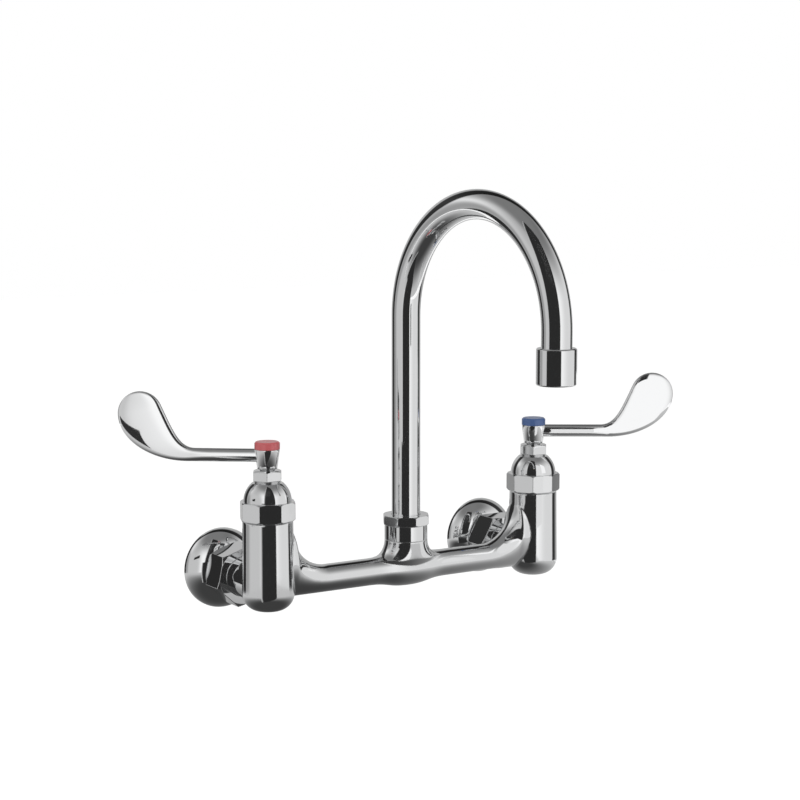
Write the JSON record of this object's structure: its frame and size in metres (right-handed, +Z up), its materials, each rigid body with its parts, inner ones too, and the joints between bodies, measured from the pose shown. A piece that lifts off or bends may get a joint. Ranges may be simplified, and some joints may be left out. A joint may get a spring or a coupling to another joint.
{
  "type": "basin mixer tap",
  "caption": "Wall-mounted two-handle mixer tap with a bridge body, wrist-blade handles and a tall swivel gooseneck spout.",
  "frame": {"origin": "on the wall face, midway between the two inlet centres", "axes": "+X to the right of someone facing the wall, from the hot inlet to the cold one; +Y into the wall, along the inlets; +Z up, along the spout's swivel and both valve spindles"},
  "size_m": [0.3566, 0.221, 0.2714],
  "materials": {
    "chrome": "mirror polished plate",
    "dull_plate": "dull nickel plate on brass",
    "brass": "turned",
    "rubber": "moulded",
    "ceramic": "lapped",
    "packing": "plain",
    "nylon": "moulded",
    "stainless_steel": "plain",
    "red_button": "glossy",
    "blue_button": "glossy"
  },
  "bodies": {
    "tap_body": {"body_casting": "chrome", "spout_nut": "chrome", "spout_glide_ring": "nylon", "hot_inlet_flange": "chrome", "hot_coupling_nut": "chrome", "hot_inlet_washer": "rubber", "hot_seat_seal": "rubber", "hot_fixed_disc": "ceramic", "hot_cartridge_body": "dull_plate", "hot_cartridge_o_ring": "rubber", "hot_bonnet": "chrome", "hot_gland_packing": "packing", "hot_packing_nut": "chrome", "cold_inlet_flange": "chrome", "cold_coupling_nut": "chrome", "cold_inlet_washer": "rubber", "cold_seat_seal": "rubber", "cold_fixed_disc": "ceramic", "cold_cartridge_body": "dull_plate", "cold_cartridge_o_ring": "rubber", "cold_bonnet": "chrome", "cold_gland_packing": "packing", "cold_packing_nut": "chrome"},
    "hot_handle_set": {"hot_spindle": "dull_plate", "hot_moving_disc": "ceramic", "hot_spindle_o_rings": "rubber", "hot_handle": "chrome", "hot_handle_screw": "stainless_steel", "hot_index": "red_button"},
    "cold_handle_set": {"cold_spindle": "dull_plate", "cold_moving_disc": "ceramic", "cold_spindle_o_rings": "rubber", "cold_handle": "chrome", "cold_handle_screw": "stainless_steel", "cold_index": "blue_button"},
    "spout": {"spout_tube": "chrome", "spout_ferrule": "brass", "spout_o_rings": "rubber", "outlet_sleeve": "chrome", "aerator_washer": "rubber", "aerator_shell": "brass", "aerator_mesh": "stainless_steel", "aerator_core": "nylon"}
  },
  "joints": [
    {"name": "hot_handle_turn", "type": "hinge", "parent": "tap_body", "child": "hot_handle_set", "pos_m": [-0.1016, -0.065, 0.08], "axis": [0, 0, 1], "range_deg": [0, 90]},
    {"name": "cold_handle_turn", "type": "hinge", "parent": "tap_body", "child": "cold_handle_set", "pos_m": [0.1016, -0.065, 0.08], "axis": [0, 0, 1], "range_deg": [-20, 70]},
    {"name": "spout_swivel", "type": "hinge", "parent": "tap_body", "child": "spout", "pos_m": [0, -0.065, 0.027], "axis": [0, 0, 1], "range_deg": [-94.8, 85.2]}
  ]
}
